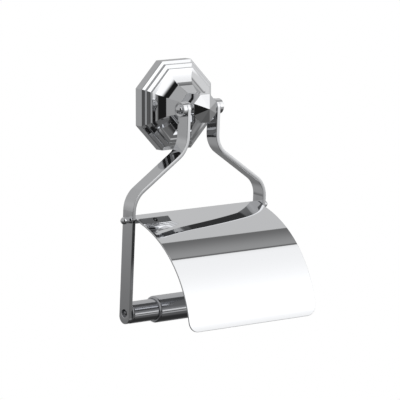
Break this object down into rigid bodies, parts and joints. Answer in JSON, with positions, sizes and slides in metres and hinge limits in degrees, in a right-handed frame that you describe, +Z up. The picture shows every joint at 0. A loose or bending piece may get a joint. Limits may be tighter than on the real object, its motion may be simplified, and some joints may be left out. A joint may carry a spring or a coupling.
{
  "type": "toilet paper holder",
  "caption": "Wall-hung toilet roll holder with a stepped octagonal rose, swinging bent arms, a curved hinged lid and a sprung roller.",
  "frame": {"origin": "centre of the rose's back, on the wall, midway between the two wall screws", "axes": "+Z up, the holder stands out from the wall along -Y, +X to the right of a person facing it"},
  "size_m": [0.1444, 0.0996, 0.1979],
  "materials": {
    "bracket_steel": "zinc plated steel",
    "rose_chrome": "polished chrome on cast brass",
    "fixing_steel": "stainless steel",
    "arm_chrome": "polished chrome on brass bar",
    "fitting_chrome": "polished chrome on turned brass",
    "lid_chrome": "mirror chrome on brass sheet",
    "roller_chrome": "polished chrome on brass tube",
    "spring_steel": "drawn spring steel",
    "plug_chrome": "chrome on turned brass"
  },
  "bodies": {
    "rose": {"wall_bracket": "bracket_steel", "rose_cover": "rose_chrome", "grub_screw": "fixing_steel", "post": "rose_chrome", "post_bolt": "fixing_steel", "bolt_washer": "fixing_steel"},
    "arms": {"pivot_axle": "fixing_steel", "left_cap": "fitting_chrome", "right_cap": "fitting_chrome", "left_spacer": "fitting_chrome", "right_spacer": "fitting_chrome", "left_arm": "arm_chrome", "right_arm": "arm_chrome", "hinge_rod": "fitting_chrome", "left_ball_nut": "fitting_chrome", "right_ball_nut": "fitting_chrome"},
    "lid": {"lid": "lid_chrome"},
    "roller": {"roller_outer_tube": "roller_chrome", "right_end_plug": "plug_chrome", "roller_spring": "spring_steel"},
    "inner_tube": {"roller_inner_tube": "roller_chrome", "left_end_plug": "plug_chrome"}
  },
  "joints": [
    {"name": "arms_swing", "type": "hinge", "parent": "rose", "child": "arms", "pos_m": [0, -0.0347, 0], "axis": [-1, 0, 0], "range_deg": [-5, 90]},
    {"name": "lid_hinge", "type": "hinge", "parent": "arms", "child": "lid", "pos_m": [0, -0.0296, -0.08114], "axis": [-1, 0, 0], "range_deg": [-44, 66]},
    {"name": "roller_spin", "type": "hinge", "parent": "arms", "child": "roller", "pos_m": [0, -0.02507, -0.1531], "axis": [1, 0, 0], "continuous": true},
    {"name": "roller_squeeze", "type": "slide", "parent": "roller", "child": "inner_tube", "axis": [1, 0, 0], "range_m": [0, 0.008], "stiffness_N_per_m": 300, "springref_m": -0.02, "deforming": ["roller_spring"]}
  ]
}
